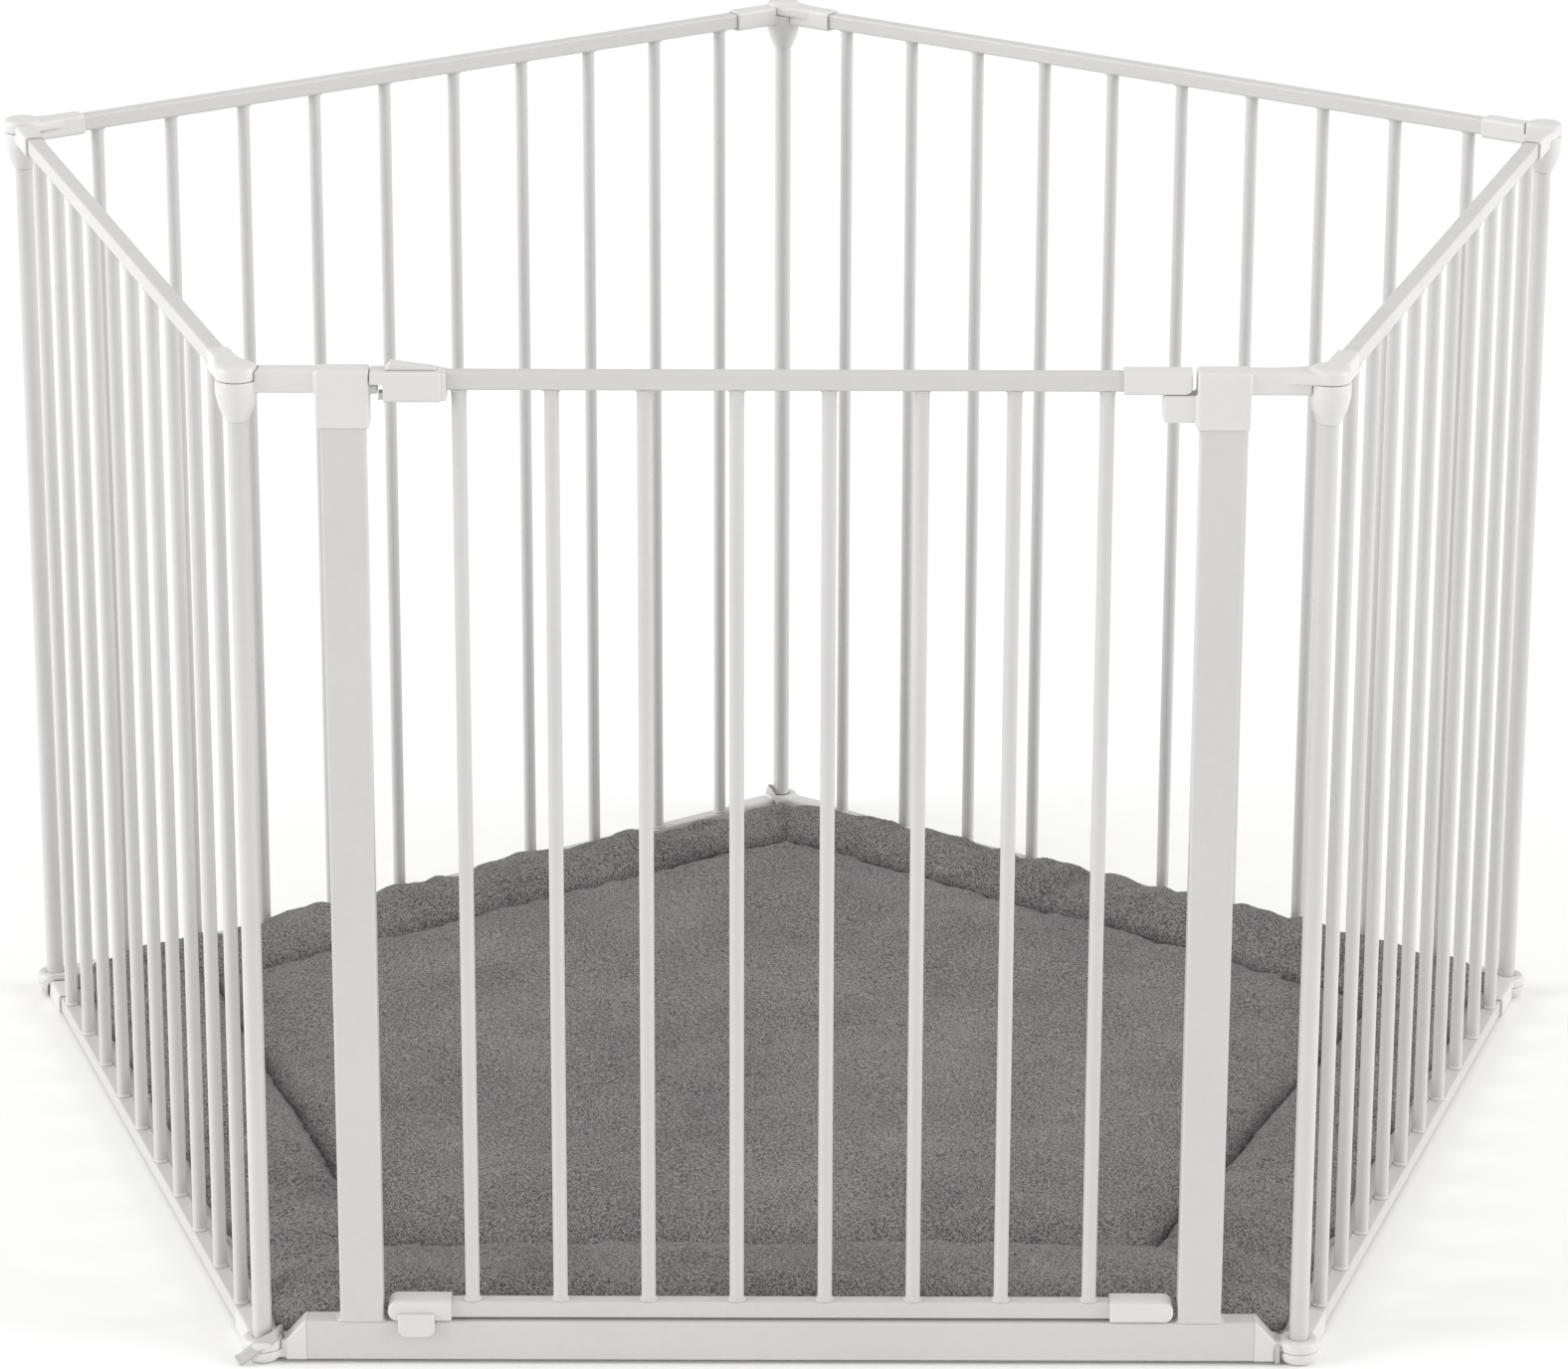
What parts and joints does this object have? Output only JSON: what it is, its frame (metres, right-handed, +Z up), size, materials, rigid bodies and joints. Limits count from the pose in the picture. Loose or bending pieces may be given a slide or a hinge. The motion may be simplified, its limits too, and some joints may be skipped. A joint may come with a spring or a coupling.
{
  "type": "playpen",
  "caption": "Five-sided white steel playpen with upright bars, a swinging gate with a thumb latch, hinged corner posts and a padded grey floor mat.",
  "frame": {"origin": "on the floor, under the middle of the bounding box", "axes": "+Z up, +X along the gate to its hinge side, -Y out through the gate"},
  "size_m": [1.1936, 1.1366, 0.7204],
  "materials": {
    "white_steel": "white powder coat, satin, faint orange peel",
    "white_plastic": "moulded white plastic, fine matte texture",
    "pin_steel": "zinc-plated steel pins and spring",
    "mat_fleece": "heathered grey fleece over soft wadding, stitched border",
    "strap_ribbon": "light grey woven ribbon"
  },
  "bodies": {
    "gate_frame": {"gate_bottom_rail": "white_steel", "gate_left_post": "white_steel", "gate_right_post": "white_steel", "gate_corner_post": "white_steel", "gate_left_cap": "white_plastic", "gate_right_cap": "white_plastic", "gate_hinge_pin": "pin_steel", "gate_left_foot": "white_plastic", "gate_right_eye": "white_plastic", "play_mat": "mat_fleece", "front_straps": "strap_ribbon"},
    "door_pins": {"door_hinge_pins": "pin_steel"},
    "door": {"door_top_rail": "white_steel", "door_bottom_rail": "white_steel", "door_bars": "white_steel", "door_hinge_sleeve": "white_plastic", "door_pivot_cap": "white_plastic", "door_end_cap": "white_plastic", "door_stop_tab": "white_plastic", "latch_housing": "white_plastic", "latch_spring": "pin_steel"},
    "latch": {"latch_slider": "white_plastic"},
    "right_panel": {"right_panel_bars": "white_steel", "right_panel_bottom_eye": "white_plastic", "right_panel_bottom_rail": "white_steel", "right_panel_foot": "white_plastic", "right_panel_hinge_pin": "pin_steel", "right_panel_post": "white_steel", "right_panel_top_cap": "white_plastic", "right_panel_top_rail": "white_steel", "right_panel_top_socket": "white_plastic"},
    "back_right_panel": {"back_right_panel_bars": "white_steel", "back_right_panel_bottom_eye": "white_plastic", "back_right_panel_bottom_rail": "white_steel", "back_right_panel_foot": "white_plastic", "back_right_panel_post": "white_steel", "back_right_panel_top_cap": "white_plastic", "back_right_panel_top_rail": "white_steel", "back_right_panel_top_socket": "white_plastic", "right_strap": "strap_ribbon"},
    "back_left_panel": {"back_left_panel_bars": "white_steel", "back_left_panel_bottom_eye": "white_plastic", "back_left_panel_bottom_rail": "white_steel", "back_left_panel_foot": "white_plastic", "back_left_panel_hinge_pin": "pin_steel", "back_left_panel_post": "white_steel", "back_left_panel_top_cap": "white_plastic", "back_left_panel_top_rail": "white_steel", "back_left_panel_top_socket": "white_plastic", "back_strap": "strap_ribbon"},
    "left_panel": {"left_panel_bars": "white_steel", "left_panel_bottom_eye": "white_plastic", "left_panel_bottom_rail": "white_steel", "left_panel_foot": "white_plastic", "left_panel_hinge_pin": "pin_steel", "left_panel_post": "white_steel", "left_panel_top_cap": "white_plastic", "left_panel_top_rail": "white_steel", "left_panel_top_socket": "white_plastic", "left_strap": "strap_ribbon"}
  },
  "joints": [
    {"name": "door_swing", "type": "hinge", "parent": "gate_frame", "child": "door_pins", "pos_m": [0.258, -0.55398, 0], "axis": [0, 0, 1], "range_deg": [0, 100]},
    {"name": "door_lift", "type": "slide", "parent": "door_pins", "child": "door", "axis": [0, 0, 1], "range_m": [0, 0.008]},
    {"name": "latch_slide", "type": "slide", "parent": "door", "child": "latch", "axis": [1, 0, 0], "range_m": [0, 0.006], "stiffness_N_per_m": 300, "springref_m": -0.004, "deforming": ["latch_spring"]},
    {"name": "left_panel_hinge", "type": "hinge", "parent": "gate_frame", "child": "left_panel", "pos_m": [-0.36, -0.55398, 0], "axis": [0, 0, 1], "range_deg": [0, 72]},
    {"name": "back_left_panel_hinge", "type": "hinge", "parent": "left_panel", "child": "back_left_panel", "pos_m": [-0.58249, 0.13078, 0], "axis": [0, 0, 1], "range_deg": [0, 72]},
    {"name": "right_panel_hinge", "type": "hinge", "parent": "gate_frame", "child": "right_panel", "pos_m": [0.36, -0.55398, 0], "axis": [0, 0, -1], "range_deg": [0, 72]},
    {"name": "back_right_panel_hinge", "type": "hinge", "parent": "right_panel", "child": "back_right_panel", "pos_m": [0.58249, 0.13078, 0], "axis": [0, 0, -1], "range_deg": [0, 72]}
  ]
}
